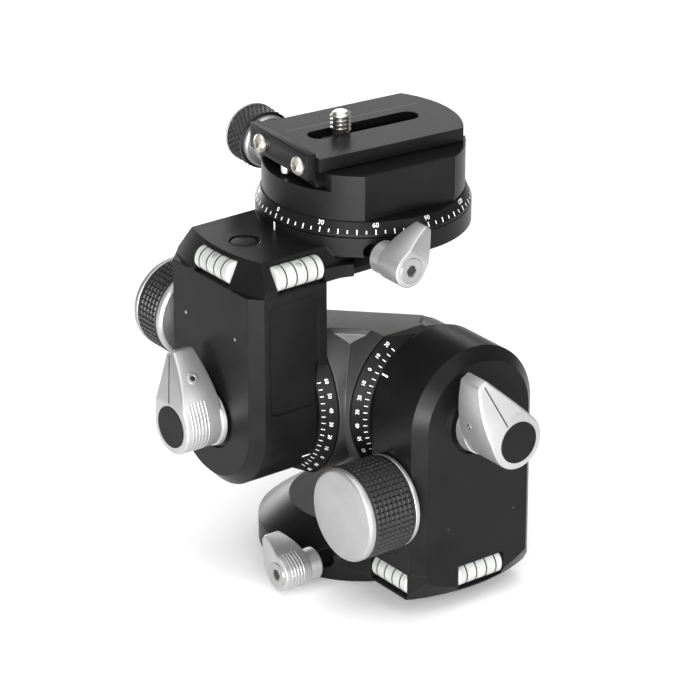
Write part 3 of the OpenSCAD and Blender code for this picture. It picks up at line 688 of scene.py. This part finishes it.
def addDigits(bm, text, size, place):
    curve = bpy.data.curves.new("digits", "FONT")
    curve.body, curve.size, curve.extrude = text, size, 0.02
    curve.align_x, curve.align_y = "CENTER", "CENTER"
    curve.resolution_u = 2
    holder = bpy.data.objects.new("digits", curve)
    bpy.context.scene.collection.objects.link(holder)
    mesh = bpy.data.meshes.new_from_object(holder.evaluated_get(bpy.context.evaluated_depsgraph_get()))
    mesh.transform(place)
    bm.from_mesh(mesh)
    bpy.data.objects.remove(holder)
    bpy.data.curves.remove(curve)
    bpy.data.meshes.remove(mesh)


def ringPlace(scale, value, radius):
    c, s = compass(scale["zeroAt"] + value)
    out, (run, rise), (edgeAt, edgeRadius) = Vector((0, -s, c)), scale["cone"], scale["coneEdge"]
    normal, up = (alongAxis * run + out * rise).normalized(), (alongAxis * -rise + out * run).normalized()
    along = edgeAt + (edgeRadius - radius) * rise / run
    return surfacePlace(alongAxis * along + out * radius + normal * scale["ink"], up, normal)


def ringMarks(scale):
    bm = bmesh.new()
    low, high = scale["low"], scale["high"] + 1
    for value in range(low, high, scale["tickStep"]):
        addTick(bm, scale["tickWidth"], scale["tick"], ringPlace(scale, value, scale["tickRadius"]))
    for value in range(low, high, scale["numberStep"]):
        addDigits(bm, str(abs(value)), scale["digit"], ringPlace(scale, value, scale["numberRadius"]))
    return bm


def indexMark(index):
    bm = bmesh.new()  # zero line on the drum
    c, s = compass(index["turn"])
    out, middle = Vector((0, -s, c)), Vector((index["at"], 0, housing["axisRise"]))
    addTick(bm, index["width"], index["length"], surfacePlace(middle + out * index["radius"], alongAxis, out))
    return bm


def panPlace(scale, value, height):
    out, (rise, run) = Vector((*compass(scale["zeroAt"] + value), 0)), scale["slope"]
    normal, up = (out * rise + upZ * run).normalized(), (out * -run + upZ * rise).normalized()
    edgeRadius, edgeHeight = scale["edge"]
    radius = edgeRadius - (height - edgeHeight) * run / rise
    return surfacePlace(out * radius + upZ * height + normal * scale["ink"], up, normal)


def panMarks(scale):
    bm = bmesh.new()
    for value in range(0, 360, scale["tickStep"]):
        length = scale["tick"] if value % scale["longStep"] else scale["longTick"]
        addTick(bm, scale["tickWidth"], length, panPlace(scale, value, scale["tickHeight"]))
        if value % scale["numberStep"] == 0:
            addDigits(bm, str(value), scale["digit"], panPlace(scale, value, scale["numberHeight"]))
    return bm


def seatMark(index):
    bm = bmesh.new()
    out = Vector((*compass(index["turn"]), 0))
    middle, length = upZ * (index["top"] + index["foot"]) / 2, index["top"] - index["foot"]
    addTick(bm, index["width"], length, surfacePlace(out * (index["radius"] + lift) + middle, upZ, out))
    return bm


finishPiece(ringMarks(ringScale), "scaleMarksLow", lowFrame, "cross", "black_anodised", whiteInk)
finishPiece(ringMarks(ringScale), "scaleMarksUp", upFrame, "cross", "black_anodised", whiteInk)
finishPiece(indexMark(drumIndex), "indexLow", lowFrame, "lower", "black_anodised", whiteInk)
finishPiece(indexMark(drumIndex), "indexUp", upFrame, "upper", "black_anodised", whiteInk)
finishPiece(panMarks(panScale), "panMarks", panFrame, "pan", "black_anodised", whiteInk)
finishPiece(seatMark(seatIndex), "seatMark", lowFrame, "upper", "black_anodised", whiteInk)
print("scales drawn")


# level vials

vial = {
    "radius": 3.8, "endInset": 0.8, "endLength": 0.7, "lines": (-5.6, -1.9, 1.9, 5.6), "lineWidth": 0.44,
    "lineRise": 0.07, "lineRoot": 0.2, "inset": 3.4,
    "bubble": 1.2, "bubbleLength": 1.9, "bubbleOut": 2.85, "lean": 0.6,
}
vialSpans = {  # along the arm, across the face, height
    "Low": ((34.6, 52), (-6.9, 10.3), -49.3),
    "Up": ((31.4, 48.6), (-9.5, 7.7), -46.9),
}
bubbleGlass = metalFinish("bubbleGlass", (0.10, 0.11, 0.11), (0.30, 0.32, 0.31), 0.0, 0.08, bump=0.0, edge=0)
vialLine = metalFinish("vialLine", 0.012, 0.016, 0.0, 0.4, bump=0.0, edge=0)


def vialPlaces(half):
    (x0, x1), (y0, y1), z = vialSpans[half]
    side = Matrix.Translation(((x0 + x1) / 2, vial["inset"] - housing["halfWidth"], z)) @ alongX
    face = Matrix.Translation((housing["face"] - vial["inset"], (y0 + y1) / 2, z)) @ alongY
    return (side, x1 - x0), (face, y1 - y0)


def vialTubes(half):
    bm = bmesh.new()
    r, endRadius, taper = vial["radius"], vial["radius"] - vial["endInset"], vial["endLength"]
    for place, length in vialPlaces(half):
        end = length / 2
        capped = [(r, end - taper), (endRadius, end), (0, end)]
        tube = turnedShape([(x, -z) for x, z in reversed(capped)] + capped, 40)
        tube.transform(place)
        joinMeshes(bm, tube)
    return bm


def vialRings(half):
    bm = bmesh.new()
    r, w, rise = vial["radius"], vial["lineWidth"] / 2, vial["lineRise"]
    for place, length in vialPlaces(half):
        for at in vial["lines"]:
            ring = turnedRing(r, r - vial["lineRoot"], at, ((-rise, -w), (-rise, w)), 40)
            ring.transform(place)
            joinMeshes(bm, ring)
    return bm


def vialBubbles(half, upward):
    bm = bmesh.new()
    small, long, lean = vial["bubble"], vial["bubbleLength"], vial["lean"]
    shapes = ((0, -lean), (long, small, small)), ((lean, 0), (small, long, small))
    for (place, length), (tilt, size) in zip(vialPlaces(half), shapes):
        out = Vector((*tilt, upward)).normalized()
        ball = bmesh.ops.create_uvsphere(bm, u_segments=20, v_segments=12, radius=1)
        bmesh.ops.scale(bm, vec=size, verts=ball["verts"])
        bmesh.ops.translate(bm, vec=place.translation + out * vial["bubbleOut"], verts=ball["verts"])
    return bm


for half, place, body, upward in (("Low", lowFrame, "lower", 1), ("Up", upFrame, "upper", -1)):
    finishPiece(vialTubes(half), "vialTubes" + half, place, body, "vial", hides=["vials_" + half.lower()])
    finishPiece(vialRings(half), "vialLines" + half, place, body, "vial", vialLine)
    finishPiece(vialBubbles(half, upward), "vialBubbles" + half, place, body, "vial", bubbleGlass)
print("vials made")


# floor, light and camera, in metres

stageSettings = {
    "floorSize": 6.0, "floorDark": 0.93, "floorLight": 0.95, "floorRough": 0.9, "worldStrength": 0.35,
}
softboxes = {  # place, target, size, power
    "topLight": ((0.1, -0.1, 1.0), (0.02, 0, 0), (1.1, 1.1), 9.5),
    "keyLight": ((0.6, -0.7, 0.42), (0, 0, 0.07), (0.5, 0.3), 4),
    "fillLight": ((1.0, 0.25, 0.55), (0, 0, 0.07), (0.6, 0.6), 3),
    "frontLight": ((0.42, -0.36, 0.07), (0, 0, 0.08), (0.45, 0.12), 5),
    "leftLight": ((-0.6, 0.1, 0.12), (0, 0, 0.05), (0.3, 0.2), 1.5),
    "rimLight": ((-0.9, 0.6, 0.5), (0, 0, 0.07), (0.6, 0.3), 1.2),
}
cameraSettings = {
    "azimuth": 52.79, "elevation": 24.44, "distance": 1.1486, "yaw": 53.01, "pitch": 24.25,
    "lens": 190.8, "sensor": 36,
}


def buildFloor(settings):
    bm = bmesh.new()
    bmesh.ops.create_grid(bm, x_segments=1, y_segments=1, size=settings["floorSize"] / 2)
    mesh = bpy.data.meshes.new("floor")
    bm.to_mesh(mesh)
    bm.free()
    floor = bpy.data.objects.new("floor", mesh)
    bpy.context.scene.collection.objects.link(floor)
    mat, tree, shader = newMaterial("paleFloor")
    tone = toneOf(tree, noiseOf(tree, 3, 3.0), settings["floorDark"], settings["floorLight"])
    tree.links.new(tone, shader.inputs["Base Color"])
    shader.inputs["Roughness"].default_value = settings["floorRough"]
    shader.inputs["Specular IOR Level"].default_value = 0.0
    mesh.materials.append(mat)


def buildWorld(settings):
    world = bpy.data.worlds.new("studio")
    world.use_nodes = True
    background = world.node_tree.nodes["Background"]
    background.inputs["Color"].default_value = (1, 1, 1, 1)
    background.inputs["Strength"].default_value = settings["worldStrength"]
    bpy.context.scene.world = world


def addSoftbox(name, place, target, size, power):
    light = bpy.data.lights.new(name, "AREA")
    light.shape = "RECTANGLE"
    light.size, light.size_y = size
    light.energy = power
    lamp = bpy.data.objects.new(name, light)
    lamp.location = place
    lamp.rotation_euler = (Vector(target) - Vector(place)).to_track_quat("-Z", "Y").to_euler()
    bpy.context.scene.collection.objects.link(lamp)


def outward(azimuth, elevation):
    (sideCos, sideSin), (riseCos, riseSin) = compass(azimuth), compass(elevation)
    return Vector((riseCos * sideSin, -riseCos * sideCos, riseSin))


def buildCamera(settings):
    cam = bpy.data.objects.new("camera", bpy.data.cameras.new("camera"))
    cam.data.lens = settings["lens"]
    cam.data.sensor_width = settings["sensor"]
    reach = outward(settings["azimuth"], settings["elevation"]) * settings["distance"]
    cam.location = Vector((0, 0, housing["axisHeight"] * mm)) + reach
    look = -outward(settings["yaw"], settings["pitch"])
    cam.rotation_euler = look.to_track_quat("-Z", "Y").to_euler()
    bpy.context.scene.collection.objects.link(cam)
    bpy.context.scene.camera = cam


buildFloor(stageSettings)
buildWorld(stageSettings)
for name, (place, target, size, power) in softboxes.items():
    addSoftbox(name, place, target, size, power)
buildCamera(cameraSettings)
bpy.context.scene.view_settings.view_transform = "Standard"
print("stage ready")
